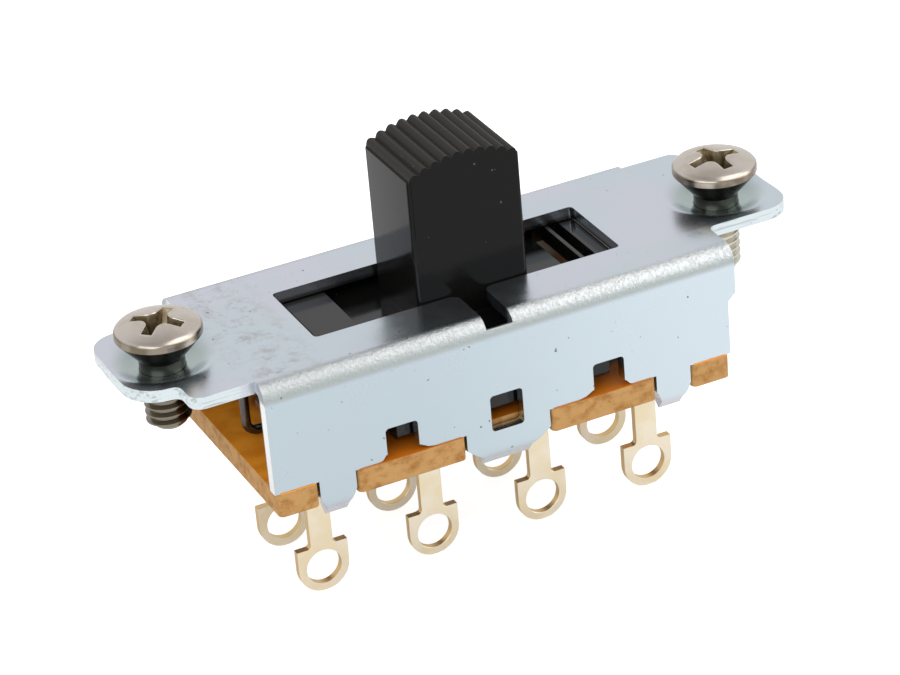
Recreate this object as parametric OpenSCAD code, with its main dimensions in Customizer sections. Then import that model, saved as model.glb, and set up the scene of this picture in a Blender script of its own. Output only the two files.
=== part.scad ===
// Panel slide switch with two poles and three positions.
// A folded sheet frame closes over a moulded slider and a laminate terminal board.
// X runs along the slide, -Y is the near side wall and +Z points out of the panel.
// The origin is the centre of the slot on the upper surface of the top plate.

/* [Frame] */
// Thickness of the frame's sheet
sheet_t = 0.8; // [0.6:0.05:1]
// Width across the outside of the two side walls
frame_w = 14.8; // [14.2:0.1:16]
// Length of the side walls
wall_l = 31.2; // [30.9:0.1:31.8]
// Length of the top plate's end strips beyond the side walls
end_step = 0.55; // [0.35:0.05:0.9]
// Depth to which each end strip reaches down the side wall
end_drop = 3.1; // [1.6:0.1:4.5]
// Depth from the top surface to the lower edge of the side walls
wall_h = 7.3; // [6.9:0.1:8.5]
// Outer radius of the two folds
fold_r = 1.1; // [1.05:0.05:1.4]

/* [Ears] */
// Distance between the two mounting holes
ear_pitch = 38.1; // [37.6:0.1:39.5]
// Overall length over the ears
overall_l = 44.8; // [44.2:0.1:46.5]
// Width of the ear tips
ear_w = 8.3; // [7.9:0.1:9]
// Distance from the centre line to the wide edge of each ear
ear_shoulder_y = 6.25; // [5.6:0.05:6.25]
// Distance from the centre of the switch to the end of the wide edge
ear_shoulder_x = 19.6; // [18.5:0.1:20.5]
// Corner radius of the ear tips
ear_r = 1.8; // [0.8:0.1:2.2]
// Outer radius of the formed dimples
dimple_r = 3.8; // [3.2:0.1:3.9]
// Depth of the formed dimples
dimple_depth = 0.75; // [0.45:0.05:1.5]

/* [Slot and openings] */
// Length of the slot
slot_l = 20.8; // [20.7:0.1:22]
// Width of the slot
slot_w = 6.6; // [6.3:0.1:7]
// Corner radius of the slot
slot_r = 0.3; // [0.2:0.05:0.5]
// Width of the notch between the slot and each fold
notch_w = 1.8; // [1.2:0.1:2.4]
// Angle round the fold at which the notch ends, from the side wall's plane
notch_angle = 26; // [15:1:60]
// Radius of the notch's mouth
mouth_r = 0.6; // [0.3:0.1:0.8]
// Distance of the outer openings in the side walls from the centre
gate_pitch = 7.05; // [6.6:0.05:7.5]
// Width of the outer openings
gate_w = 2.15; // [1.8:0.05:2.4]
// Height of the three openings above the wall's lower edge
gate_h = 2.15; // [1.6:0.05:2.3]
// Width of the middle window
window_w = 2.2; // [1.6:0.1:2.6]
// Depth to which the middle window reaches into the middle tab
window_sill = 0.32; // [0.14:0.02:0.5]

/* [Tabs and terminal board] */
// Width of the middle tab
mid_tab_w = 5.7; // [5.2:0.1:6.2]
// Width of the middle tab's bent end
mid_lip_w = 3.3; // [2.6:0.1:4.2]
// Width of the outer tabs
end_tab_w = 2.4; // [2:0.1:2.8]
// Width of the outer tabs' bent ends
end_lip_w = 1.5; // [1.1:0.1:1.9]
// Distance of the outer tabs from the centre
end_tab_x = 11.5; // [11.2:0.1:12.2]
// Thickness of the terminal board
board_t = 1.6; // [1.4:0.1:2]
// Length of the terminal board
board_l = 30.9; // [30.1:0.1:31.7]
// How far the terminal board stands out past each side wall
board_over = 0.1; // [0.02:0.02:0.4]
// Length of the tabs' bent ends
lip_l = 1; // [0.8:0.05:1.3]
// Angle through which the tabs' ends are bent under the board
lip_angle = 38; // [30:1:80]

/* [Terminals] */
// Distance between neighbouring terminals in a row
pin_pitch = 7.62; // [7.4:0.02:7.7]
// Distance between the outer faces of the two rows
row_w = 6.7; // [6.5:0.1:7.1]
// Thickness of the terminals
pin_t = 0.5; // [0.4:0.05:0.55]
// Width of the stems
stem_w = 1.5; // [1.2:0.1:1.7]
// Depth of the lug eyes' centres below the top surface
eye_depth = 15.9; // [15.2:0.1:17]
// Diameter of the lug eyes
eye_d = 2.35; // [2:0.05:2.5]
// Outer width of the lugs
lug_w = 3.4; // [3.3:0.05:3.8]
// Height of the lugs' square shoulders above the eyes' centres
shoulder_h = 1.5; // [1.3:0.1:2]
// Radius of the inner corners between the stems and the lugs
neck_r = 0.25; // [0.15:0.05:0.35]
// Space between neighbouring contact pads
pad_space = 2.2; // [1.8:0.1:2.6]
// Length of the outer pads beyond the middle of their stems
pad_end = 0.9; // [0.8:0.1:1.1]
// Width of the contact pads across the slide
pad_w = 2.2; // [2:0.1:2.4]

/* [Slider] */
// Place of the slider along its travel, 0 in the middle
slide_pos = 0.35; // [-5:0.05:5]
// Length of the knob
knob_l = 7.5; // [6.6:0.1:7.8]
// Gap between the knob and each side of the slot
knob_gap = 0.15; // [0.1:0.05:0.5]
// Height of the knob's crown above the top surface
knob_h = 9.45; // [8.5:0.05:10.5]
// Radius of the knob's crown
crown_r = 7.5; // [7:0.1:9]
// Number of finger ridges over the crown
ridges = 10; // [7:1:12]
// Height of the finger ridges
ridge_h = 0.28; // [0.15:0.01:0.35]
// Radius of the knob's upright corners
knob_r = 0.3; // [0.15:0.05:0.5]
// Running gap between the slider's shutters and the top plate
top_gap = 0.08; // [0.06:0.01:0.15]
// Drop of the slider's middle below its shutters
relief = 0.75; // [0.3:0.05:0.85]
// Running gap between the slider and each side wall
side_gap = 0.25; // [0.2:0.01:0.35]
// Length of the slider's body
body_l = 14.6; // [14.2:0.1:15]
// Length of each shutter beyond the slider's body
shutter_reach = 2.8; // [2.6:0.05:2.8]
// Thickness of the shutters
shutter_t = 1.1; // [1:0.05:1.2]
// Height of the slider's side skirts above the board
skirt_gap = 0.4; // [0.35:0.05:0.55]
// Running gap between the contact pads and the slider
pad_gap = 0.25; // [0.2:0.05:0.3]

/* [Contacts and detent] */
// Thickness of the contact bridges
bridge_t = 0.35; // [0.3:0.05:0.4]
// Width of the contact bridges
bridge_w = 1.6; // [1.3:0.1:1.7]
// Height of the bumps on the contact bridges
bump_h = 0.45; // [0.35:0.05:0.5]
// Thickness of the contact springs
leaf_t = 0.25; // [0.2:0.05:0.3]
// Diameter of the detent wire
wire_d = 0.6; // [0.5:0.05:0.7]
// Distance of the wire's upright ends from the centre
wire_x = 14.2; // [13.9:0.1:14.4]
// Height of the wire's upright ends above the board
wire_h = 4.5; // [4:0.1:4.8]
// Distance between neighbouring detent positions
detent_pitch = 5.08; // [4.9:0.02:5.1]
// Height of the waves in the wire
wave_h = 0.45; // [0.3:0.05:0.5]

/* [Screws] */
// Diameter of the screws' shanks
screw_d = 2.84; // [2.6:0.02:2.9]
// Diameter of the oval heads
head_d = 5.4; // [5:0.05:5.8]
// Height of the heads' upper rim above the top surface
head_z = 2; // [1.75:0.05:2.6]
// Height of the heads' rim band
rim_h = 0.55; // [0.3:0.05:0.65]
// Height of the domes over the rim
dome_h = 0.66; // [0.5:0.02:1]
// Length of the left screw below its upper rim
left_screw_l = 6.7; // [6.4:0.05:7.6]
// Length of the right screw below its upper rim
right_screw_l = 7.55; // [6.4:0.05:7.6]
// Radial clearance of the shanks in the ears
thread_gap = 0.03; // [0.02:0.01:0.05]

/* [Hidden] */

cut = 0.5;
lap = 0.1;
round_fn = 48;
plate_l = wall_l + 2 * end_step;
inner_fold_r = fold_r - sheet_t;
wall_in_y = frame_w / 2 - sheet_t;
fold_y = frame_w / 2 - fold_r;
hole_r = screw_d / 2 + thread_gap;
corner_r = 0.25;

board_w = frame_w + 2 * board_over;
board_top = -wall_h;
board_bottom = board_top - board_t;
lip_gap = 0.02;
tab_fold_r = 0.15;
tab_gap = 0.1;
tab_straight = 0.45;
tab_taper = 1;
board_corner_r = 0.35;

pad_l = pin_pitch - pad_space;
pad_top = board_top + pin_t;
stem_gap = 0.04;
contact_y = row_w / 2 - pad_w / 2;

knob_w = slot_w - 2 * knob_gap;
shutter_top = -sheet_t - top_gap;
shutter_l = body_l + 2 * shutter_reach;
shutter_lap = 1.3;
shutter_w = slot_w + 2 * shutter_lap;
body_top = shutter_top - relief;
body_bottom = pad_top + pad_gap;
body_w = 2 * (wall_in_y - side_gap);
skirt_bottom = board_top + skirt_gap;
skirt_inset = 1.7;
skirt_y = row_w / 2 + skirt_inset;
body_edge = 0.3;
port_l = 0.74;
port_rib = 0.28;
port_lap = 0.3;
port_w = slot_w + 2 * port_lap;
port_x = body_l / 2;

bump_pitch = pin_pitch;
bump_gap = 0.06;
bump_half = 1;
bridge_gap = 0.15;
bridge_reach = 1.15;
bridge_end_h = 0.8;
bridge_bottom = pad_top + bump_gap + bump_h;
bridge_top = bridge_bottom + bridge_t;
bridge_l = bump_pitch + 2 * bridge_reach;
pocket_side = 0.2;
pocket_room = 1.3;
pocket_l = bridge_l + 2 * bridge_gap;
pocket_w = bridge_w + 2 * pocket_side;
pocket_top = bridge_top + pocket_room;
leaf_gap = 0.03;
leaf_end = 0.2;
leaf_inset = 0.1;
leaf_half = bump_pitch / 2 - bump_half - leaf_end;

wire_gap = 0.02;
wire_z = board_top + wire_d / 2 + wire_gap;
wire_bend_r = 0.7;
channel_gap = 0.25;
channel_w = wire_d + 2 * channel_gap;
crest_z = wire_z + wire_d / 2 + wave_h;
nub_gap = 0.08;
nub_h = 0.5;
nub_tip = crest_z + nub_gap;
channel_top = nub_tip + nub_h;

// Points along an arc of radius r about [cx, cy]
function arc(cx, cy, r, a0, a1, n = 6) =
    [for (i = [0:n]) let (a = a0 + (a1 - a0) * i / n) [cx + r * cos(a), cy + r * sin(a)]];

// The same points in the opposite order
function reversed(p) = [for (i = [len(p) - 1:-1:0]) p[i]];

// A smooth hump of height h that ends at the distance half from its middle
function hump(x, half, h) = abs(x) < half ? h * (1 + cos(180 * x / half)) / 2 : 0;

// Height of the dimple's upper surface at the radius r from the hole's axis
function dimple_z(r) = -hump(r - hole_r, dimple_r - hole_r, dimple_depth);

// Draws its children twice, the second time turned half round the upright axis
module twice() {
    children();
    rotate([0, 0, 180]) children();
}

// A rectangle centred on the origin with round corners
module rounded(l, w, r) {
    square([l, w - 2 * r], center = true);
    square([l - 2 * r, w], center = true);
    for (x = [-1, 1], y = [-1, 1])
        translate([x * (l / 2 - r), y * (w / 2 - r)]) circle(r, $fn = round_fn);
}

// What rounding takes off a square corner at the origin, whose material lies at +X and +Y
module corner_waste(r) {
    difference() {
        translate([-lap, -lap]) square(r + lap);
        translate([r, r]) circle(r, $fn = round_fn);
    }
}

// A quarter of a ring at -X and +Y of its centre
module quarter_ring(outer, inner) {
    intersection() {
        difference() {
            circle(outer, $fn = round_fn);
            circle(inner, $fn = round_fn);
        }
        translate([-outer, 0]) square(outer);
    }
}

// A ring's part between -X and the angle a below it
module bent_ring(outer, inner, a) {
    k = 2 * outer;
    intersection() {
        difference() {
            circle(outer, $fn = round_fn);
            circle(inner, $fn = round_fn);
        }
        polygon([[0, 0], [-k, 0], [-k, -k * tan(a / 2)], [-k * cos(a), -k * sin(a)]]);
    }
}

// Extrudes an outline drawn in Y and Z from x0 to x1
module along_x(x0, x1) {
    translate([x0, 0, 0]) rotate([90, 0, 90]) linear_extrude(x1 - x0) children();
}

// Extrudes an outline drawn in X and Z from y0 to y1
module along_y(y0, y1) {
    translate([0, y1, 0]) rotate([90, 0, 0]) linear_extrude(y1 - y0) children();
}

// Extrudes an outline drawn in X and Y from z0 to z1
module along_z(z0, z1) {
    translate([0, 0, z0]) linear_extrude(z1 - z0) children();
}

// Outline of the flat of the top plate, from the middle to the right ear
module plate_half() {
    tip = overall_l / 2;
    end = plate_l / 2;
    step_r = 0.5;
    shoulder_r = 0.8;
    blunt_r = 1.3 * ear_r;
    polygon(concat(
        [[0, -fold_y], [end, -fold_y]],
        arc(end + step_r, -ear_w / 2 - step_r, step_r, 180, 90),
        arc(tip - ear_r, -ear_w / 2 + ear_r, ear_r, -90, 0),
        arc(tip - blunt_r, ear_w / 2 - blunt_r, blunt_r, 0, 90),
        arc(ear_shoulder_x + step_r, ear_w / 2 + step_r, step_r, 270, 180, 4),
        arc(ear_shoulder_x - shoulder_r, ear_shoulder_y - shoulder_r, shoulder_r, 0, 90),
        [[wall_l / 2, ear_shoulder_y], [wall_l / 2, fold_y], [0, fold_y]]));
}

// Section of one fold and its side wall
module wall_section() {
    translate([-frame_w / 2, -wall_h]) square([sheet_t, wall_h - fold_r]);
    translate([-fold_y, -fold_r]) quarter_ring(fold_r, inner_fold_r);
}

// What is cut from the end of a side wall below its end strip
module wall_end() {
    x = wall_l / 2;
    polygon([[x, -wall_h - cut], [x, -end_drop - end_step], [x + end_step, -end_drop],
        [x + end_step + cut, -end_drop], [x + end_step + cut, -wall_h - cut]]);
}

// The window in the middle of a side wall, which reaches a little into the middle tab
module window() {
    translate([0, -wall_h + (gate_h - window_sill) / 2])
        rounded(window_w, gate_h + window_sill, corner_r);
}

// The window and the two openings beside it, which are open below
module openings() {
    window();
    for (x = [-gate_pitch, gate_pitch])
        translate([x, -wall_h + gate_h / 2 - cut]) rounded(gate_w, gate_h + 2 * cut, corner_r);
}

// Outline of a tab of width w, which tapers to its lip
module tab_outline(w, lip_w) {
    taper_z = board_bottom + tab_straight;
    low_z = board_bottom - lip_l - sheet_t - cut;
    polygon([[-w / 2, board_top + cut], [w / 2, board_top + cut], [w / 2, taper_z],
        [lip_w / 2, taper_z - tab_taper], [lip_w / 2, low_z],
        [-lip_w / 2, low_z], [-lip_w / 2, taper_z - tab_taper], [-w / 2, taper_z]]);
}

// A tab that passes the edge of the terminal board and is bent under it
module tab(x, w, lip_w) {
    outer_r = sheet_t + tab_fold_r;
    bend_y = -wall_in_y + tab_fold_r;
    reach = tab_gap - tab_fold_r * (1 - cos(lip_angle));
    bend_z = board_bottom - lip_gap + tab_fold_r * sin(lip_angle) + reach / tan(lip_angle);
    intersection() {
        along_x(x - w / 2, x + w / 2) {
            translate([-frame_w / 2, bend_z]) square([sheet_t, board_top + cut - bend_z]);
            translate([bend_y, bend_z]) bent_ring(outer_r, tab_fold_r, lip_angle);
            translate([bend_y, bend_z]) rotate(lip_angle) translate([-outer_r, -lip_l])
                square([sheet_t, lip_l]);
        }
        translate([x, 0, 0]) along_y(-frame_w / 2 - cut, 0) tab_outline(w, lip_w);
    }
}

// The near fold and side wall with its openings and tabs
module side_wall() {
    outside = -frame_w / 2 - cut;
    difference() {
        along_x(-wall_l / 2, plate_l / 2) wall_section();
        along_y(outside, -fold_y) wall_end();
        along_y(outside, -fold_y) openings();
    }
    for (x = [-end_tab_x, end_tab_x]) tab(x, end_tab_w, end_lip_w);
    difference() {
        tab(0, mid_tab_w, mid_lip_w);
        along_y(outside, -fold_y) window();
    }
}

// The sheet that bulges below an ear round its hole
module dimple_bulge() {
    steps = 10;
    rotate_extrude($fn = round_fn) polygon(concat(
        [[0, -sheet_t / 2], [dimple_r, -sheet_t / 2]],
        [for (i = [steps:-1:0]) let (r = hole_r + (dimple_r - hole_r) * i / steps)
            [r, dimple_z(r) - sheet_t]],
        [[0, -dimple_depth - sheet_t]]));
}

// The hollow of a dimple and the hole through it
module dimple_hollow() {
    steps = 10;
    rotate_extrude($fn = round_fn) polygon(concat(
        [[0, cut], [dimple_r, cut]],
        [for (i = [steps:-1:0]) let (r = hole_r + (dimple_r - hole_r) * i / steps)
            [r, dimple_z(r)]],
        [[0, -dimple_depth]]));
    translate([0, 0, -dimple_depth - sheet_t - cut]) cylinder(sheet_t + 2 * cut, r = hole_r, $fn = round_fn);
}

// The near notch, from the slot to a point round the fold
module notch() {
    slot_y = -slot_w / 2;
    reach = 2 * fold_r;
    end_y = -fold_y - reach * cos(notch_angle);
    end_z = -fold_r + reach * sin(notch_angle);
    along_x(-notch_w / 2, notch_w / 2)
        polygon([[slot_y + lap, end_z + cut], [slot_y + lap, -sheet_t - lap], [-fold_y, -fold_r],
            [end_y, end_z], [end_y, end_z + cut]]);
    along_z(-sheet_t - cut, cut)
        for (side = [0, 1]) mirror([side, 0])
            translate([notch_w / 2, slot_y]) mirror([0, 1]) corner_waste(mouth_r);
}

// Top plate, ears, folds and side walls, pressed and folded from one sheet
module frame() {
    color([0.79, 0.84, 0.87]) difference() {
        union() {
            along_z(-sheet_t, 0) twice() plate_half();
            intersection() {
                along_z(-sheet_t - dimple_depth - cut, 0) twice() plate_half();
                twice() translate([ear_pitch / 2, 0, 0]) dimple_bulge();
            }
            twice() side_wall();
        }
        twice() translate([ear_pitch / 2, 0, 0]) dimple_hollow();
        along_z(-sheet_t - cut, cut) rounded(slot_l, slot_w, slot_r);
        twice() notch();
    }
}

// One recess in the near edge of the board, for a tab of width w
module board_recess(x, w) {
    recess_y = wall_in_y - tab_gap;
    depth = board_w / 2 - recess_y;
    translate([x, -recess_y - depth]) rounded(w + 2 * tab_gap, 2 * depth, corner_r);
    for (side = [0, 1])
        translate([x, 0]) mirror([side, 0]) translate([w / 2 + tab_gap, -board_w / 2])
            corner_waste(board_corner_r);
}

// Laminate board with edge recesses for the tabs and a slot for each terminal's stem
module terminal_board() {
    color([0.72, 0.45, 0.20]) along_z(board_bottom, board_top) difference() {
        rounded(board_l, board_w, board_corner_r);
        twice() {
            board_recess(0, mid_tab_w);
            for (x = [-end_tab_x, end_tab_x]) board_recess(x, end_tab_w);
            for (i = [0:3])
                translate([(i - 1.5) * pin_pitch, -row_w / 2 + pin_t / 2])
                    square([stem_w + 2 * stem_gap, pin_t + 2 * stem_gap], center = true);
        }
    }
}

// Outline of a lug and its stem
module lug_outline() {
    shoulder_z = -eye_depth + shoulder_h;
    difference() {
        union() {
            translate([0, -eye_depth]) circle(d = lug_w, $fn = round_fn);
            translate([-lug_w / 2, -eye_depth]) square([lug_w, shoulder_h]);
            translate([-stem_w / 2, shoulder_z - cut]) square([stem_w, pad_top - shoulder_z + cut]);
            for (side = [0, 1]) mirror([side, 0]) translate([stem_w / 2, shoulder_z]) corner_waste(neck_r);
        }
        translate([0, -eye_depth]) circle(d = eye_d, $fn = round_fn);
    }
}

// One terminal of the near row: an eyed lug, its stem and the contact pad bent over on the board
module terminal(i) {
    left = i == 1 ? pad_end : pad_l / 2;
    right = i == 4 ? pad_end : pad_l / 2;
    color([0.86, 0.79, 0.62]) translate([(i - 2.5) * pin_pitch, 0, 0]) {
        along_y(-row_w / 2, -row_w / 2 + pin_t) lug_outline();
        along_z(board_top, pad_top)
            translate([(right - left) / 2, -contact_y]) rounded(left + right, pad_w, corner_r);
    }
}

// One terminal of the far row, numbered from the same end as the near row
module rear_terminal(i) {
    rotate([0, 0, 180]) terminal(5 - i);
}

// Ring of n points of a round wire about the point p whose run is turned by the angle a
function wire_ring(p, a, n) =
    [for (k = [0:n - 1]) let (t = 360 * k / n)
        [p[0] - wire_d / 2 * cos(t) * sin(a), wire_d / 2 * sin(t), p[1] + wire_d / 2 * cos(t) * cos(a)]];

// Height of the wire over the board, with one hollow for each stop of the slider
function wire_run(x) =
    wire_z + (abs(x) < 2 * detent_pitch ? wave_h * (1 - cos(360 * x / detent_pitch)) / 2 : 0);

// Middle line of the wire from the left upright end to the right one
function wire_path() =
    let (bend = wire_bend_r, x = wire_x - bend, z = wire_z + bend, n = 40)
    concat(
        [[-wire_x, board_top + wire_h]],
        arc(-x, z, bend, 180, 270),
        [for (i = [0:n]) let (s = 2 * detent_pitch * (2 * i / n - 1)) [s, wire_run(s)]],
        arc(x, z, bend, 270, 360),
        [[wire_x, board_top + wire_h]]);

// Sprung wire along the board's centre line with both ends turned up
module detent_spring() {
    sides = 10;
    path = wire_path();
    last = len(path) - 1;
    rings = [for (i = [0:last])
        let (p = path[max(i - 1, 0)], q = path[min(i + 1, last)])
        wire_ring(path[i], atan2(q[1] - p[1], q[0] - p[0]), sides)];
    points = [for (ring = rings) each ring];
    walls = [for (i = [0:last - 1], k = [0:sides - 1])
        let (a = i * sides + k, b = i * sides + (k + 1) % sides)
        [a, b, b + sides, a + sides]];
    caps = [[for (k = [sides - 1:-1:0]) k], [for (k = [0:sides - 1]) last * sides + k]];
    color([0.22, 0.22, 0.24]) polyhedron(points, concat(walls, caps), convexity = 4);
}

// Oval head screw of the given length, whose cross recess is turned by the angle a
module screw(length, a) {
    head_r = head_d / 2;
    shank_r = screw_d / 2;
    edge_r = 0.12;
    dome_r = (head_r * head_r + dome_h * dome_h) / (2 * dome_h);
    crown_z = head_z + dome_h;
    cone_z = head_z - rim_h;
    cone_angle = 41;
    cone_h = (head_r - shank_r) / tan(cone_angle);
    end_z = head_z - length;
    point_h = 0.3;
    color([0.75, 0.71, 0.65]) difference() {
        rotate_extrude($fn = round_fn) polygon(concat(
            arc(0, crown_z - dome_r, dome_r, 90, 90 - asin((head_r - edge_r) / dome_r), 8),
            arc(head_r - edge_r, head_z - edge_r, edge_r, 60, 0, 3),
            [[head_r, cone_z], [shank_r, cone_z - cone_h], [shank_r, end_z + point_h],
                [shank_r - point_h, end_z], [0, end_z]]));
        rotate([0, 0, a]) cross_recess(crown_z);
    }
}

// Tapered cross recess below the height z
module cross_recess(z) {
    depth = 1.5;
    reach = 1.66;
    tip_r = 0.45;
    wing_w = 0.6;
    slope = (reach - tip_r) / depth;
    intersection() {
        translate([0, 0, z - depth])
            cylinder(depth + cut, r1 = tip_r, r2 = reach + slope * cut, $fn = round_fn);
        for (a = [0, 90])
            rotate([0, 0, a]) translate([-2 * reach, -wing_w / 2, z - depth])
                cube([4 * reach, wing_w, depth + cut]);
    }
}

// Outline of the knob from the side, with finger ridges over its crown
module knob_outline() {
    centre_z = knob_h - crown_r;
    half_a = asin(knob_l / 2 / crown_r);
    valley_r = crown_r - ridge_h;
    end_z = centre_z + valley_r * cos(half_a);
    steps = 6 * ridges;
    crown = [for (i = [0:steps])
        let (a = half_a * (1 - 2 * i / steps), r = valley_r + ridge_h * abs(sin(180 * ridges * i / steps)))
        [r * sin(a), centre_z + r * cos(a)]];
    polygon(concat([[-knob_l / 2, body_top - cut], [knob_l / 2, body_top - cut], [knob_l / 2, end_z]],
        crown, [[-knob_l / 2, end_z]]));
}

// Section of the slider's body, with side skirts and the channel over the detent wire
module body_section() {
    half = body_w / 2;
    difference() {
        polygon([[-half + body_edge, body_top], [half - body_edge, body_top], [half, body_top - body_edge],
            [half, skirt_bottom + body_edge], [half - body_edge, skirt_bottom],
            [-half + body_edge, skirt_bottom], [-half, skirt_bottom + body_edge],
            [-half, body_top - body_edge]]);
        translate([-skirt_y, skirt_bottom - cut]) square([2 * skirt_y, body_bottom - skirt_bottom + cut]);
        translate([-channel_w / 2, body_bottom - cut]) square([channel_w, channel_top - body_bottom + cut]);
    }
}

// Plates that close the slot at each end of the slider, the right one with two ports
module shutters() {
    difference() {
        along_z(shutter_top - shutter_t, shutter_top) rounded(shutter_l, shutter_w, corner_r);
        along_z(body_top, shutter_top + cut) square([body_l, shutter_w + cut], center = true);
        along_z(shutter_top - shutter_t - cut, shutter_top + cut)
            for (x = [port_x, port_x + port_l + port_rib])
                translate([x, -port_w / 2]) square([port_l, port_w]);
    }
}

// Knob, body and shutters, moulded in one piece, about the slider's own middle
module slider_moulding() {
    nub_r = 0.5;
    difference() {
        union() {
            intersection() {
                along_y(-knob_w / 2, knob_w / 2) knob_outline();
                along_z(body_top - cut, knob_h + cut) rounded(knob_l, knob_w, knob_r);
            }
            along_x(-body_l / 2, body_l / 2) body_section();
            shutters();
        }
        for (y = [-contact_y, contact_y])
            translate([-pocket_l / 2, y - pocket_w / 2, body_bottom - cut])
                cube([pocket_l, pocket_w, pocket_top - body_bottom + cut]);
    }
    along_y(-channel_w / 2 - lap, channel_w / 2 + lap) {
        translate([0, nub_tip + nub_r]) circle(nub_r, $fn = round_fn);
        translate([-nub_r, nub_tip + nub_r]) square([2 * nub_r, channel_top - nub_tip]);
    }
}

module slider() {
    color([0.10, 0.10, 0.10]) translate([slide_pos, 0, 0]) slider_moulding();
}

// Outline of a formed strip of thickness t, whose lower edge follows the points p
module strip(p, t) {
    polygon(concat(p, reversed([for (q = p) [q[0], q[1] + t]])));
}

// Bridging contact with a bump over each of two neighbouring pads and upturned ends
module contact(y) {
    steps = 64;
    half = bridge_l / 2;
    lower = [for (i = [0:steps])
        let (x = half * (2 * i / steps - 1))
        [x, bridge_bottom - hump(abs(x) - bump_pitch / 2, bump_half, bump_h)]];
    color([0.80, 0.62, 0.36]) translate([slide_pos, y, 0]) along_y(-bridge_w / 2, bridge_w / 2) {
        strip(lower, bridge_t);
        for (x = [-half, half - bridge_t])
            translate([x, bridge_bottom]) square([bridge_t, bridge_t + bridge_end_h]);
    }
}

// Bowed leaf that presses a bridging contact down from the roof of its pocket
module contact_spring(y) {
    steps = 24;
    foot_z = bridge_top + leaf_gap;
    rise = pocket_top - leaf_gap - leaf_t - foot_z;
    lower = [for (i = [0:steps])
        let (x = leaf_half * (2 * i / steps - 1))
        [x, foot_z + hump(x, leaf_half, rise)]];
    color([0.62, 0.63, 0.64]) translate([slide_pos, y, 0])
        along_y(-bridge_w / 2 + leaf_inset, bridge_w / 2 - leaf_inset) strip(lower, leaf_t);
}

frame();
terminal_board();
terminal(1);  // terminal_front_1
terminal(2);  // terminal_front_2
terminal(3);  // terminal_front_3
terminal(4);  // terminal_front_4
rear_terminal(1);  // terminal_rear_1
rear_terminal(2);  // terminal_rear_2
rear_terminal(3);  // terminal_rear_3
rear_terminal(4);  // terminal_rear_4
detent_spring();
translate([-ear_pitch / 2, 0, 0]) screw(left_screw_l, 45);  // screw_left
translate([ear_pitch / 2, 0, 0]) screw(right_screw_l, 5);  // screw_right
slider();
contact(-contact_y);  // contact_front
contact(contact_y);  // contact_rear
contact_spring(-contact_y);  // contact_spring_front
contact_spring(contact_y);  // contact_spring_rear
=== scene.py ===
"""Studio scene of a panel slide switch: its finishes, its screws and the light it stands in.

Lengths inside the classes are in millimetres. The switch's own frame has X along the slide, -Y at the near
side wall, +Z out of the panel, and its origin in the middle of the slot on the top plate.
"""

import logging
import math
from collections.abc import Callable, Iterable
from dataclasses import dataclass, field
from enum import Enum

import bmesh
import bpy
from mathutils import Matrix, Vector


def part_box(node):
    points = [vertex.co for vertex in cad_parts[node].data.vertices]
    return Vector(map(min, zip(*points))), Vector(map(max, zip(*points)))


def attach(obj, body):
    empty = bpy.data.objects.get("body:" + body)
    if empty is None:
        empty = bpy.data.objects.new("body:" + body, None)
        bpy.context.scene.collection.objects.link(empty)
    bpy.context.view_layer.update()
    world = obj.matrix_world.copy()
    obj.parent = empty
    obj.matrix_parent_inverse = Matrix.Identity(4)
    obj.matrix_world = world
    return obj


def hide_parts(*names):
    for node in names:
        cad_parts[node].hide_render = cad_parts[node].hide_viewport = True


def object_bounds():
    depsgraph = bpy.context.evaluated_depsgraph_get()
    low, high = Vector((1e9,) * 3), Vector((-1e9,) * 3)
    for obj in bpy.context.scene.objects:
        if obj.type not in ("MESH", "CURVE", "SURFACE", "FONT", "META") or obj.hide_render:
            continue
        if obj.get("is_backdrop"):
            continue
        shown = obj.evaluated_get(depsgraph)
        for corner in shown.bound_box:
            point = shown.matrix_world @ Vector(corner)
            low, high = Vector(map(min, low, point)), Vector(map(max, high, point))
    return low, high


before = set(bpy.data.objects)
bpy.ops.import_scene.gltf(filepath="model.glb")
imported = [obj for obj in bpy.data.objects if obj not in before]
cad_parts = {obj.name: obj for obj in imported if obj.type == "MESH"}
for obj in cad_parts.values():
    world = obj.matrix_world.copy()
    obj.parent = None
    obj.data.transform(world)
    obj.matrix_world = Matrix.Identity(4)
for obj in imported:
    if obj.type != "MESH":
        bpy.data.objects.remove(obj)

MM = 0.001
BASE_BODY = "base"
SLIDER_BODY = "slider"

Colour = tuple[float, float, float]
log = logging.getLogger("slide_switch")


class Side(Enum):
    """The two ends of the switch, as the sign of X."""

    LEFT = -1
    RIGHT = 1


class Pattern(Enum):
    """Ways in which a noise pattern is stretched, as scales along X, Y and Z."""

    EVEN = (1.0, 1.0, 1.0)
    ROLLED = (0.06, 1.0, 1.0)
    DRAWN = (1.0, 1.0, 0.05)
    FIBRES = (0.35, 1.0, 1.6)


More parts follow.
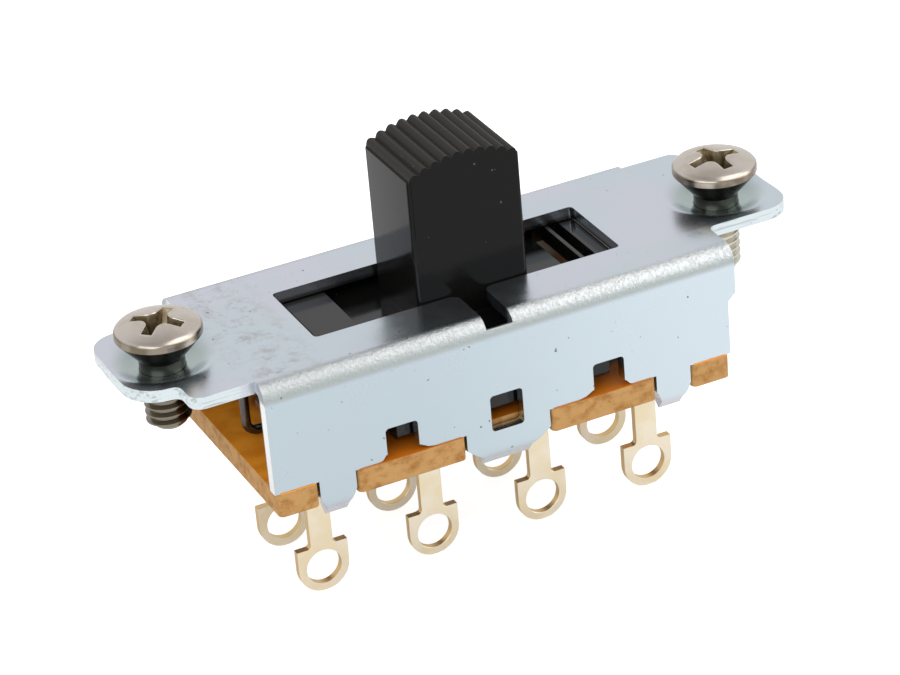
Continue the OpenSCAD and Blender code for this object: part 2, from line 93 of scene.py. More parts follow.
class ShaderSheet:
    """A material's node tree, with short calls for the nodes that the finishes use."""

    def __init__(self, name: str) -> None:
        """Start an empty material with one Principled shader.

        Args:
            name: The material's name.
        """
        self.material = bpy.data.materials.new(name)
        self.material.use_nodes = True
        self.tree = self.material.node_tree
        self.tree.nodes.clear()
        self.shader = self.tree.nodes.new("ShaderNodeBsdfPrincipled")
        output = self.tree.nodes.new("ShaderNodeOutputMaterial")
        self.link(self.shader.outputs["BSDF"], output.inputs["Surface"])
        self._coordinates = self.tree.nodes.new("ShaderNodeTexCoord")

    def link(self, source: bpy.types.NodeSocket, target: bpy.types.NodeSocket) -> None:
        """Join an output socket to an input socket."""
        self.tree.links.new(source, target)

    def fixed(self, **values: float | Colour) -> None:
        """Set shader sockets that are the same all over the surface.

        Args:
            values: Socket names in lower case with underscores, and their values.
        """
        for key, value in values.items():
            socket = self.shader.inputs[key.replace("_", " ").title().replace("Ior", "IOR")]
            socket.default_value = (*value, 1.0) if isinstance(value, tuple) else value

    def place(self, pattern: Pattern = Pattern.EVEN, shift: Colour = (0.0, 0.0, 0.0)) -> bpy.types.NodeSocket:
        """Object coordinates in millimetres, stretched by the pattern.

        Args:
            pattern: How the coordinates are stretched.
            shift: A shift in stretched units, so that two patterns differ.

        Returns:
            The vector socket.
        """
        mapping = self.tree.nodes.new("ShaderNodeMapping")
        mapping.inputs["Scale"].default_value = tuple(s / MM for s in pattern.value)
        mapping.inputs["Location"].default_value = shift
        self.link(self._coordinates.outputs["Object"], mapping.inputs["Vector"])
        return mapping.outputs["Vector"]

    def axis(self, index: int) -> bpy.types.NodeSocket:
        """One object coordinate in millimetres: 0 for X, 1 for Y and 2 for Z."""
        parts = self.tree.nodes.new("ShaderNodeSeparateXYZ")
        self.link(self.place(), parts.inputs["Vector"])
        return parts.outputs[index]

    def facing(self, index: int) -> bpy.types.NodeSocket:
        """How far the surface faces along an object axis, without sign, from 0 to 1."""
        parts = self.tree.nodes.new("ShaderNodeSeparateXYZ")
        self.link(self._coordinates.outputs["Normal"], parts.inputs["Vector"])
        return self.maths("ABSOLUTE", parts.outputs[index])

    def maths(self, operation: str, first: bpy.types.NodeSocket, second: object = None) -> bpy.types.NodeSocket:
        """One Math node.

        Args:
            operation: The Math node's operation.
            first: The first input.
            second: The second input, a socket or a number.

        Returns:
            The result's socket.
        """
        node = self.tree.nodes.new("ShaderNodeMath")
        node.operation = operation
        self.link(first, node.inputs[0])
        if isinstance(second, (int, float)):
            node.inputs[1].default_value = second
        elif second is not None:
            self.link(second, node.inputs[1])
        return node.outputs["Value"]

    def noise(
        self,
        scale: float,
        detail: float = 3.0,
        roughness: float = 0.55,
        pattern: Pattern = Pattern.EVEN,
        shift: Colour = (0.0, 0.0, 0.0),
    ) -> bpy.types.NodeSocket:
        """A noise pattern.

        Args:
            scale: Blotches per millimetre.
            detail: Octaves.
            roughness: Strength of the finer octaves.
            pattern: How the pattern is stretched.
            shift: A shift of the pattern.

        Returns:
            The noise value's socket.
        """
        node = self.tree.nodes.new("ShaderNodeTexNoise")
        node.inputs["Scale"].default_value = scale
        node.inputs["Detail"].default_value = detail
        node.inputs["Roughness"].default_value = roughness
        self.link(self.place(pattern, shift), node.inputs["Vector"])
        return node.outputs["Fac"]

    def band(self, value: bpy.types.NodeSocket, low: float, high: float) -> bpy.types.NodeSocket:
        """A smooth step from 0 at low to 1 at high; low may be the larger of the two."""
        node = self.tree.nodes.new("ShaderNodeMapRange")
        node.interpolation_type = "SMOOTHSTEP"
        rising = low < high
        node.inputs["From Min"].default_value = low if rising else high
        node.inputs["From Max"].default_value = high if rising else low
        node.inputs["To Min"].default_value = 0.0 if rising else 1.0
        node.inputs["To Max"].default_value = 1.0 if rising else 0.0
        self.link(value, node.inputs["Value"])
        return node.outputs["Result"]

    def between(self, value: bpy.types.NodeSocket, low: float, high: float) -> bpy.types.NodeSocket:
        """A number that runs from low to high as value runs from 0 to 1."""
        node = self.tree.nodes.new("ShaderNodeMapRange")
        node.inputs["To Min"].default_value = low
        node.inputs["To Max"].default_value = high
        self.link(value, node.inputs["Value"])
        return node.outputs["Result"]

    def blend(self, factor: bpy.types.NodeSocket, first: object, second: object) -> bpy.types.NodeSocket:
        """A mix of two colours.

        Args:
            factor: 0 gives the first colour and 1 the second.
            first: A colour or a colour socket.
            second: A colour or a colour socket.

        Returns:
            The mixed colour's socket.
        """
        node = self.tree.nodes.new("ShaderNodeMix")
        node.data_type = "RGBA"
        self.link(factor, node.inputs["Factor"])
        for socket, colour in ((node.inputs[6], first), (node.inputs[7], second)):
            if isinstance(colour, tuple):
                socket.default_value = (*colour, 1.0)
            else:
                self.link(colour, socket)
        return node.outputs[2]

    def relief(self, height: bpy.types.NodeSocket, depth: float) -> None:
        """Bump the surface by a height pattern.

        Args:
            height: The pattern, from 0 to 1.
            depth: The depth of the relief in millimetres.
        """
        bump = self.tree.nodes.new("ShaderNodeBump")
        bump.inputs["Distance"].default_value = depth * MM
        self.link(height, bump.inputs["Height"])
        previous = self.shader.inputs["Normal"]
        if previous.is_linked:
            self.link(previous.links[0].from_socket, bump.inputs["Normal"])
        self.link(bump.outputs["Normal"], previous)


@dataclass(frozen=True)
class ZincPlate:
    """Bright zinc on pressed steel: pale blue-grey, with faint tints, rolling lines and worn, grainy folds. Painted
    shade and painted light lie across the side walls, inside the housing, in the dimples and along the folds.
    """

    cool: Colour = (0.62, 0.69, 0.75)
    lavender: Colour = (0.66, 0.68, 0.76)
    green: Colour = (0.60, 0.70, 0.72)
    # The side walls' painted shade at the left and painted light at the right, blended between the two X positions
    # below.
    wall_painted_shade: Colour = (0.515, 0.615, 0.67)
    wall_painted_light: Colour = (0.695, 0.80, 0.865)
    wall_from_x: float = -9.0
    wall_to_x: float = 17.0
    cut_edge: Colour = (0.74, 0.82, 0.85)
    sheared: Colour = (0.36, 0.40, 0.40)
    end_edge: Colour = (0.97, 0.98, 0.97)
    # Painted shade for the inside of the housing.
    housing_painted_shade: Colour = (0.13, 0.12, 0.11)
    inner_y: float = 6.68
    smudge: Colour = (0.44, 0.42, 0.42)
    worn: Colour = (0.67, 0.69, 0.68)
    rubbed: Colour = (0.50, 0.51, 0.50)
    # The next colour is painted shade for the left end of the folds.
    fold_left_painted_shade: Colour = (0.40, 0.41, 0.41)
    # Painted shade for the dimples under the heads.
    shaded: Colour = (0.42, 0.50, 0.475)
    speck: Colour = (0.10, 0.09, 0.08)
    fold_y: float = 6.3
    fold_low: float = -1.35
    fold_shade: Colour = (0.42, 0.45, 0.44)
    hole_x: float = 19.05
    smudge_x: float = -13.6
    smudge_reach: float = 3.4

    def material(self) -> bpy.types.Material:
        """The finished material."""
        sheet = ShaderSheet("zinc_plate")
        tint = sheet.blend(sheet.band(sheet.noise(0.11, 2.0), 0.40, 0.62), self.cool, self.lavender)
        tint = sheet.blend(
            sheet.maths("MULTIPLY", sheet.band(sheet.noise(0.17, 3.0, shift=(7.0, 3.0, 1.0)), 0.52, 0.70), 0.6),
            tint,
            self.green,
        )
        # Painted light: the side walls are painted darker towards the left and brighter towards the right, for the
        # shade and reflected light that fall across them.
        wall = sheet.blend(sheet.band(sheet.axis(0), self.wall_from_x, self.wall_to_x), self.wall_painted_shade, self.wall_painted_light)
        on_wall = sheet.band(sheet.maths("ABSOLUTE", sheet.axis(1)), 6.9, 7.3)
        tint = sheet.blend(sheet.maths("MULTIPLY", on_wall, 0.75), tint, wall)
        streaks = sheet.band(sheet.noise(4.0, 3.0, 0.6, Pattern.ROLLED, (5.0, 1.0, 3.0)), 0.50, 0.62)
        cut = sheet.blend(sheet.maths("MULTIPLY", streaks, 0.6), self.cut_edge, self.sheared)
        tint = sheet.blend(self._edge_mask(sheet), tint, cut)
        tint = sheet.blend(self._end_mask(sheet), tint, self.end_edge)
        tint = sheet.blend(self._smudge_mask(sheet), tint, self.smudge)
        # Painted shade in the dimples under the screw heads.
        tint = sheet.blend(self._dimple_shade_mask(sheet), tint, self.shaded)
        # Painted shade inside the housing.
        tint = sheet.blend(sheet.maths("MULTIPLY", self._housing_shade_mask(sheet), 0.85), tint, self.housing_painted_shade)
        fold = self._fold_mask(sheet)
        fold_wear_and_shade = sheet.blend(sheet.band(sheet.noise(5.0, 3.0, 0.7), 0.38, 0.62), self.worn, self.rubbed)
        # Painted shade: the fold's worn tint is painted darker towards the left end and at its foot, where it turns
        # down into the wall.
        fold_wear_and_shade = sheet.blend(
            sheet.maths("MULTIPLY", sheet.band(sheet.axis(0), 10.0, -20.0), 0.7), fold_wear_and_shade, self.fold_left_painted_shade
        )
        fold_wear_and_shade = sheet.blend(sheet.band(sheet.axis(2), -0.40, -0.85), fold_wear_and_shade, self.fold_shade)
        tint = sheet.blend(sheet.maths("MULTIPLY", fold, 0.85), tint, fold_wear_and_shade)
        specks = sheet.band(sheet.noise(2.3, 2.0, shift=(4.0, 9.0, 2.0)), 0.735, 0.765)
        tint = sheet.blend(sheet.maths("MULTIPLY", specks, 0.75), tint, self.speck)
        sheet.link(tint, sheet.shader.inputs["Base Color"])
        cloud = sheet.between(sheet.noise(0.45, 4.0, 0.6), 0.15, 0.34)
        sheet.link(
            sheet.maths("ADD", cloud, sheet.maths("MULTIPLY", fold, 0.20)), sheet.shader.inputs["Roughness"]
        )
        sheet.fixed(metallic=1.0)
        sheet.relief(sheet.noise(7.0, 3.0, 0.6, Pattern.ROLLED), 0.0012)
        sheet.relief(sheet.noise(0.9, 2.0), 0.006)
        grain = sheet.maths("MULTIPLY", sheet.noise(5.0, 3.0, 0.65), fold)
        sheet.relief(grain, 0.06)
        return sheet.material

    def _smudge_mask(self, sheet: ShaderSheet) -> bpy.types.NodeSocket:
        """Where old flux and fingers have browned the plate beside the left ear."""
        along = sheet.maths("ABSOLUTE", sheet.maths("SUBTRACT", sheet.axis(0), self.smudge_x))
        near = sheet.band(along, self.smudge_reach, 0.4)
        on_top = sheet.band(sheet.axis(2), -0.5, -0.1)
        patch = sheet.band(sheet.noise(0.9, 6.0, 0.75, shift=(2.0, 5.0, 0.0)), 0.46, 0.66)
        return sheet.maths("MULTIPLY", sheet.maths("MULTIPLY", near, patch), sheet.maths("MULTIPLY", on_top, 0.70))

    def _edge_mask(self, sheet: ShaderSheet) -> bpy.types.NodeSocket:
        """1 on the upright cut edges of the ears."""
        upright = sheet.band(sheet.facing(2), 0.6, 0.3)
        out = sheet.band(sheet.maths("ABSOLUTE", sheet.axis(0)), 16.3, 16.8)
        return sheet.maths("MULTIPLY", upright, out)

    def _end_mask(self, sheet: ShaderSheet) -> bpy.types.NodeSocket:
        """1 on the bright sheared ends of the two side walls."""
        ends = sheet.band(sheet.maths("ABSOLUTE", sheet.axis(0)), 14.85, 14.95)
        low = sheet.band(sheet.axis(2), -0.9, -1.2)
        return sheet.maths("MULTIPLY", sheet.band(sheet.facing(0), 0.6, 0.9), sheet.maths("MULTIPLY", ends, low))

    def _housing_shade_mask(self, sheet: ShaderSheet) -> bpy.types.NodeSocket:
        """1 inside the housing, on the inner faces of the walls and under the top plate round the slot, where painted
        shade darkens the metal.
        """
        across = sheet.maths("ABSOLUTE", sheet.axis(1))
        walls = sheet.maths(
            "MULTIPLY", sheet.band(across, self.inner_y + 0.05, self.inner_y - 0.05),
            sheet.maths("MULTIPLY", sheet.band(sheet.axis(2), -1.0, -1.2), sheet.band(sheet.axis(2), -8.0, -7.7)),
        )
        rim = sheet.maths(
            "MULTIPLY", sheet.band(across, 4.4, 4.2),
            sheet.maths(
                "MULTIPLY", sheet.band(sheet.maths("ABSOLUTE", sheet.axis(0)), 13.5, 13.0),
                sheet.band(sheet.axis(2), -0.45, -0.7),
            ),
        )
        return sheet.maths("MAXIMUM", walls, rim)

    def _dimple_shade_mask(self, sheet: ShaderSheet) -> bpy.types.NodeSocket:
        """1 in the deep middle of the two dimples, where painted shade stands for the shade under the screw heads."""
        out = sheet.maths("SUBTRACT", sheet.maths("ABSOLUTE", sheet.axis(0)), self.hole_x)
        across = sheet.maths("POWER", sheet.maths("ABSOLUTE", sheet.axis(1)), 2.0)
        along = sheet.maths("POWER", sheet.maths("ABSOLUTE", out), 2.0)
        radius = sheet.maths("SQRT", sheet.maths("ADD", along, across))
        return sheet.maths("MULTIPLY", sheet.band(radius, 3.4, 2.2), 0.80)

    def _fold_mask(self, sheet: ShaderSheet) -> bpy.types.NodeSocket:
        """1 on the outside of the two folds, where the plating is stretched and rubbed, and where painted shade darkens
        the left end and the foot of the fold.
        """
        outward = sheet.band(sheet.maths("ABSOLUTE", sheet.axis(1)), self.fold_y - 0.1, self.fold_y + 0.5)
        high = sheet.band(sheet.axis(2), self.fold_low, self.fold_low + 0.45)
        return sheet.maths("MULTIPLY", outward, high)


@dataclass(frozen=True)
class PhenolicLaminate:
    """Orange-brown laminate with a smooth face and paler, fibrous sawn edges, with painted shade on the face inside the
    housing.
    """

    face: Colour = (0.95, 0.35, 0.024)
    face_dark: Colour = (0.80, 0.25, 0.012)
    # Painted shade for the face inside the housing and under the slider.
    board_painted_shade: Colour = (0.50, 0.135, 0.007)
    housing_painted_shade: Colour = (0.075, 0.045, 0.02)
    edge: Colour = (0.53, 0.295, 0.105)
    edge_dark: Colour = (0.36, 0.155, 0.032)

    def material(self) -> bpy.types.Material:
        """The finished material."""
        sheet = ShaderSheet("phenolic_laminate")
        face = sheet.blend(sheet.band(sheet.noise(0.6, 4.0), 0.35, 0.65), self.face, self.face_dark)
        fibre = sheet.noise(1.6, 5.0, 0.65, Pattern.FIBRES)
        mottle = sheet.noise(1.5, 4.0, 0.6, shift=(7.0, 2.0, 1.0))
        mixed = sheet.maths("ADD", sheet.maths("MULTIPLY", fibre, 0.35), sheet.maths("MULTIPLY", mottle, 0.65))
        edge = sheet.blend(sheet.band(mixed, 0.42, 0.66), self.edge, self.edge_dark)
        upright = sheet.band(sheet.facing(2), 0.7, 0.4)
        # Painted shade: the face is painted darker towards the middle, inside the housing, and darkest under the
        # slider.
        inner_x = sheet.band(sheet.maths("ABSOLUTE", sheet.axis(0)), 13.0, 11.5)
        face = sheet.blend(inner_x, face, self.board_painted_shade)
        inner_y = sheet.band(sheet.maths("ABSOLUTE", sheet.axis(1)), 4.8, 4.0)
        face = sheet.blend(sheet.maths("MULTIPLY", inner_x, inner_y), face, self.housing_painted_shade)
        sheet.link(sheet.blend(upright, face, edge), sheet.shader.inputs["Base Color"])
        sheet.link(sheet.between(upright, 0.34, 0.62), sheet.shader.inputs["Roughness"])
        sheet.fixed(specular_ior_level=0.3)
        sheet.relief(sheet.maths("MULTIPLY", mixed, upright), 0.05)
        return sheet.material


@dataclass(frozen=True)
class TinnedBrass:
    """Cream-gold tinned lugs whose punched edges show the brass."""

    face: Colour = (0.90, 0.82, 0.66)
    face_warm: Colour = (0.86, 0.75, 0.53)
    edge: Colour = (0.70, 0.50, 0.24)

    def material(self) -> bpy.types.Material:
        """The finished material."""
        sheet = ShaderSheet("tinned_brass")
        face = sheet.blend(sheet.band(sheet.noise(0.5, 3.0), 0.40, 0.66), self.face, self.face_warm)
        cut = sheet.band(sheet.facing(1), 0.75, 0.35)
        on_lug = sheet.band(sheet.axis(2), -7.6, -8.2)
        sheet.link(
            sheet.blend(sheet.maths("MULTIPLY", cut, on_lug), face, self.edge), sheet.shader.inputs["Base Color"]
        )
        sheet.link(sheet.between(sheet.noise(1.5), 0.22, 0.42), sheet.shader.inputs["Roughness"])
        sheet.fixed(metallic=1.0)
        sheet.relief(sheet.noise(3.0, 3.0), 0.006)
        return sheet.material


@dataclass(frozen=True)
class BlackMoulding:
    """Glossy black moulding, duller and a little brown over the finger ridges."""

    smooth: Colour = (0.006, 0.006, 0.0057)
    ridged: Colour = (0.024, 0.021, 0.018)
    dust: Colour = (0.22, 0.21, 0.20)
    crown_z: float = 8.2

    def material(self) -> bpy.types.Material:
        """The finished material."""
        sheet = ShaderSheet("black_moulding")
        crown = sheet.maths(
            "MULTIPLY", sheet.band(sheet.axis(2), self.crown_z - 0.1, self.crown_z + 0.1),
            sheet.band(sheet.facing(2), 0.12, 0.35),
        )
        colour = sheet.blend(crown, self.smooth, self.ridged)
        fluff = sheet.band(sheet.noise(2.6, 2.0, shift=(3.0, 1.0, 6.0)), 0.745, 0.775)
        colour = sheet.blend(sheet.maths("MULTIPLY", fluff, 0.5), colour, self.dust)
        sheet.link(colour, sheet.shader.inputs["Base Color"])
        cloud = sheet.between(sheet.noise(0.4, 3.0), 0.10, 0.17)
        sheet.link(sheet.maths("ADD", cloud, sheet.maths("MULTIPLY", crown, 0.36)), sheet.shader.inputs["Roughness"])
        low = sheet.band(sheet.axis(2), -0.2, -0.7)
        sheet.link(sheet.between(low, 0.15, 0.45), sheet.shader.inputs["Specular IOR Level"])
        sheet.relief(sheet.noise(1.1, 3.0), 0.004)
        sheet.relief(sheet.maths("MULTIPLY", sheet.noise(8.0, 2.0), crown), 0.012)
        return sheet.material


@dataclass(frozen=True)
class NickelPlate:
    """Warm nickel over turned steel, with a dark film of oil inside the driver recess and the threads, and painted
    shade on the neck under the head and on the rim's lower band.
    """

    bright: Colour = (0.62, 0.565, 0.51)
    warm: Colour = (0.56, 0.49, 0.42)
    oily: Colour = (0.25, 0.205, 0.13)
    film: Colour = (0.50, 0.435, 0.31)
    # Painted shade for the neck under the head.
    neck_painted_shade: Colour = (0.075, 0.075, 0.065)
    thread: Colour = (0.24, 0.215, 0.17)
    thread_clean: Colour = (0.66, 0.63, 0.55)
    # Painted shade for the rim's lower band.
    rim: Colour = (0.20, 0.165, 0.12)
    rim_z: float = 2.01
    neck_z: float = 1.25
    thread_z: float = -1.2

    def material(self) -> bpy.types.Material:
        """The outside's finished material."""
        sheet = ShaderSheet("nickel_plate")
        tint = sheet.blend(sheet.band(sheet.noise(0.6, 3.0), 0.38, 0.66), self.bright, self.warm)
        thread = sheet.blend(sheet.band(sheet.axis(0), -1.0, 1.0), self.thread, self.thread_clean)
        lower = sheet.blend(
            sheet.band(sheet.axis(2), self.thread_z + 0.4, self.thread_z - 0.4), self.neck_painted_shade, thread
        )
        # Painted shade: the rim's lower band and the cone below it are painted dark brown.
        rim = sheet.maths(
            "MULTIPLY", sheet.band(sheet.axis(2), self.rim_z, self.rim_z - 0.12),
            sheet.between(sheet.band(sheet.noise(0.7, 2.0, shift=(1.0, 0.0, 5.0)), 0.40, 0.60), 0.70, 1.0),
        )
        tint = sheet.blend(rim, tint, self.rim)
        # Painted shade: the neck under the head is painted nearly black.
        below = sheet.band(sheet.axis(2), self.neck_z + 0.25, self.neck_z)
        tint = sheet.blend(below, tint, lower)
        sheet.link(tint, sheet.shader.inputs["Base Color"])
        sheet.link(sheet.between(sheet.noise(1.3, 3.0), 0.16, 0.30), sheet.shader.inputs["Roughness"])
        sheet.fixed(metallic=1.0)
        sheet.relief(sheet.noise(4.0, 3.0), 0.003)
        return sheet.material

    def recess_material(self) -> bpy.types.Material:
        """The driver recess's finished material."""
        sheet = ShaderSheet("nickel_recess")
        tint = sheet.blend(sheet.band(sheet.noise(1.8, 3.0), 0.42, 0.72), self.oily, self.film)
        sheet.link(tint, sheet.shader.inputs["Base Color"])
        sheet.link(sheet.between(sheet.noise(2.0), 0.32, 0.50), sheet.shader.inputs["Roughness"])
        sheet.fixed(metallic=1.0)
        return sheet.material


@dataclass(frozen=True)
class StripMetal:
    """Plain wire or strip: one tone with drawing or rolling lines."""

    name: str
    tone: Colour
    deep: Colour
    roughness: float
    lines: Pattern = Pattern.ROLLED

    def material(self) -> bpy.types.Material:
        """The finished material."""
        sheet = ShaderSheet(self.name)
        tint = sheet.blend(sheet.noise(1.0, 3.0), self.tone, self.deep)
        sheet.link(tint, sheet.shader.inputs["Base Color"])
        rough = sheet.between(sheet.noise(2.0), self.roughness - 0.06, self.roughness + 0.08)
        sheet.link(rough, sheet.shader.inputs["Roughness"])
        sheet.fixed(metallic=1.0)
        sheet.relief(sheet.noise(8.0, 2.0, 0.5, self.lines), 0.002)
        return sheet.material


class FinishShelf:
    """Every finish of the switch, made once."""

    def __init__(self) -> None:
        """Make the materials."""
        nickel = NickelPlate()
        self.zinc = ZincPlate().material()
        self.laminate = PhenolicLaminate().material()
        self.lug = TinnedBrass().material()
        self.black = BlackMoulding().material()
        self.nickel = nickel.material()
        self.recess = nickel.recess_material()
        self.wire = StripMetal("spring_wire", (0.16, 0.15, 0.14), (0.07, 0.07, 0.07), 0.28, Pattern.DRAWN).material()
        self.contact = StripMetal("contact_strip", (0.72, 0.45, 0.24), (0.60, 0.36, 0.18), 0.26).material()
        self.leaf = StripMetal("leaf_strip", (0.58, 0.59, 0.60), (0.50, 0.50, 0.50), 0.24).material()


@dataclass(frozen=True)
class EdgeBreak:
    """How the sharp edges of a pressed, moulded or sawn piece are broken."""

    width: float
    segments: int = 2
    angle: float = 35.0

    def apply(self, piece: bpy.types.Object) -> None:
        """Add the modifiers that round the edges and keep the flats flat.

        Args:
            piece: The object whose edges are rounded.
        """
        bevel = piece.modifiers.new("edge_break", "BEVEL")
        bevel.width = self.width * MM
        bevel.segments = self.segments
        bevel.profile = 0.5
        bevel.limit_method = "ANGLE"
        bevel.angle_limit = math.radians(self.angle)
        bevel.use_clamp_overlap = True
        bevel.harden_normals = True


class Workshop:
    """Shared ways to make an object of a mesh, and to copy a solid of the frame."""

    MERGE = 1e-4 * MM
    FLAT = math.radians(0.3)
    SMOOTH = math.radians(38.0)

    @classmethod
    def object_from(cls, bm: bmesh.types.BMesh, name: str, materials: Iterable[bpy.types.Material]) -> bpy.types.Object:
        """Turn a finished bmesh into an object at the origin.

        Args:
            bm: The mesh, in metres. It is freed.
            name: The object's name.
            materials: The materials for its slots, in order.

        Returns:
            The new object.
        """
        for face in bm.faces:
            face.smooth = True
        for edge in bm.edges:
            if len(edge.link_faces) == 2 and edge.calc_face_angle(0.0) > cls.SMOOTH:
                edge.smooth = False
        mesh = bpy.data.meshes.new(name)
        bm.to_mesh(mesh)
        bm.free()
        for material in materials:
            mesh.materials.append(material)
        piece = bpy.data.objects.new(name, mesh)
        bpy.context.scene.collection.objects.link(piece)
        return piece

    @classmethod
    def merged(cls, node: str) -> bmesh.types.BMesh:
        """A merged copy of a solid of the frame, with its flats free of inner edges.

        Args:
            node: The solid's name.

        Returns:
            The copy as a bmesh, in metres.
        """
        bm = bmesh.new()
        bm.from_mesh(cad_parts[node].data)
        bmesh.ops.remove_doubles(bm, verts=bm.verts, dist=cls.MERGE)
        bmesh.ops.dissolve_limit(
            bm, angle_limit=cls.FLAT, verts=bm.verts, edges=bm.edges, use_dissolve_boundaries=False
        )
        return bm

    @classmethod
    def cut(cls, body: bmesh.types.BMesh, tool: bmesh.types.BMesh) -> bmesh.types.BMesh:
        """Cut one closed mesh out of another.

        Args:
            body: The mesh that is cut. It is freed.
            tool: The mesh that is taken away. It is freed.

        Returns:
            The cut mesh.
        """
        bmesh.ops.recalc_face_normals(tool, faces=tool.faces)
        blank = cls.object_from(body, "blank", [])
        punch = cls.object_from(tool, "punch", [])
        modifier = blank.modifiers.new("cut", "BOOLEAN")
        modifier.operation = "DIFFERENCE"
        modifier.solver = "EXACT"
        modifier.object = punch
        evaluated = blank.evaluated_get(bpy.context.evaluated_depsgraph_get())
        result = bmesh.new()
        result.from_mesh(evaluated.to_mesh())
        evaluated.to_mesh_clear()
        for spent in (blank, punch):
            bpy.data.objects.remove(spent)
        return result

    @classmethod
    def dressed(cls, node: str, name: str, material: bpy.types.Material, edges: EdgeBreak | None) -> bpy.types.Object:
        """A finished copy of a solid, which stands for it.

        Args:
            node: The solid's name.
            name: The new piece's name.
            material: Its finish.
            edges: How its edges are broken, or None to leave them as they are.

        Returns:
            The new piece.
        """
        piece = cls.object_from(cls.merged(node), name, [material])
        if edges:
            edges.apply(piece)
        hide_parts(node)
        return piece


@dataclass
class Housing:
    """The pressed sheet frame and the laminate board that its tabs hold."""

    finishes: FinishShelf
    sheet_edge: EdgeBreak = EdgeBreak(0.14, 3)
    board_edge: EdgeBreak = EdgeBreak(0.07)
    foot_z: float = -7.3
    gate_flare: tuple[tuple[float, float], ...] = (
        (4.8, 0.0), (5.4, 0.12), (5.9, 0.40), (8.2, 0.40), (8.45, 0.10), (8.7, 0.0)
    )

    def build(self) -> list[bpy.types.Object]:
        """Make the frame and the board.

        Returns:
            The pieces.
        """
        pressed = Workshop.merged("frame")
        for side in (-1, 1):
            pressed = Workshop.cut(pressed, self._flare_punch(side))
        sheet = Workshop.object_from(pressed, "pressed_frame", [self.finishes.zinc])
        self.sheet_edge.apply(sheet)
        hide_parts("frame")
        board = Workshop.dressed("terminal_board", "laminate_board", self.finishes.laminate, self.board_edge)
        pieces = [sheet, board]
        for piece in pieces:
            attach(piece, BASE_BODY)
        return pieces


    def _flare_punch(self, side: int) -> bmesh.types.BMesh:
        """The wedge that lifts the foot of both side walls beside an outer opening.

        Args:
            side: 1 for the right half of the walls and -1 for the left.

        Returns:
            The closed wedge, in metres.
        """
        flare = self.gate_flare
        width = (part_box("frame")[1].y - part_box("frame")[0].y) / MM + 1.0
        low = self.foot_z - 0.1
        outline = [(flare[0][0], low), *((x, self.foot_z + lift) for x, lift in flare), (flare[-1][0], low)]
        wedge = bmesh.new()
        face = wedge.faces.new([wedge.verts.new((side * x, -width / 2, z)) for x, z in outline])
        moved = bmesh.ops.extrude_face_region(wedge, geom=[face])["geom"]
        bmesh.ops.translate(
            wedge, vec=(0, width, 0), verts=[v for v in moved if isinstance(v, bmesh.types.BMVert)]
        )
        bmesh.ops.scale(wedge, vec=(MM, MM, MM), verts=wedge.verts)
        return wedge


@dataclass
class Terminals:
    """The eight eyed solder lugs."""

    finishes: FinishShelf
    rows: tuple[str, str] = ("front", "rear")
    per_row: int = 4
    edge: EdgeBreak = EdgeBreak(0.05)

    def build(self) -> list[bpy.types.Object]:
        """Make each lug.

        Returns:
            The pieces.
        """
        pieces = []
        for row in self.rows:
            for number in range(1, self.per_row + 1):
                lug = Workshop.dressed(
                    f"terminal_{row}_{number}", f"solder_lug_{row}_{number}", self.finishes.lug, self.edge
                )
                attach(lug, BASE_BODY)
                pieces.append(lug)
        return pieces


@dataclass
class SlidingKnob:
    """The black slider with its knob, and the contacts that it carries inside."""

    finishes: FinishShelf
    edge: EdgeBreak = EdgeBreak(0.07, 2, 28.0)

    def build(self) -> list[bpy.types.Object]:
        """Make the slider and dress the hidden contacts.

        Returns:
            The new pieces.
        """
        knob = Workshop.dressed("slider", "moulded_slider", self.finishes.black, self.edge)
        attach(knob, SLIDER_BODY)
        self._dress_contacts()
        return [knob]

    def _dress_contacts(self) -> None:
        """Give the bridging contacts and their leaf springs their strip metals."""
        for row in ("front", "rear"):
            for node, finish in (("contact", self.finishes.contact), ("contact_spring", self.finishes.leaf)):
                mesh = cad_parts[f"{node}_{row}"].data
                mesh.materials.clear()
                mesh.materials.append(finish)


@dataclass
class DetentWire:
    """The dark sprung wire along the board."""

    finishes: FinishShelf

    def build(self) -> list[bpy.types.Object]:
        """Make the wire.

        Returns:
            The piece in a list.
        """
        wire = Workshop.dressed("detent_spring", "sprung_wire", self.finishes.wire, None)
        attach(wire, BASE_BODY)
        return [wire]


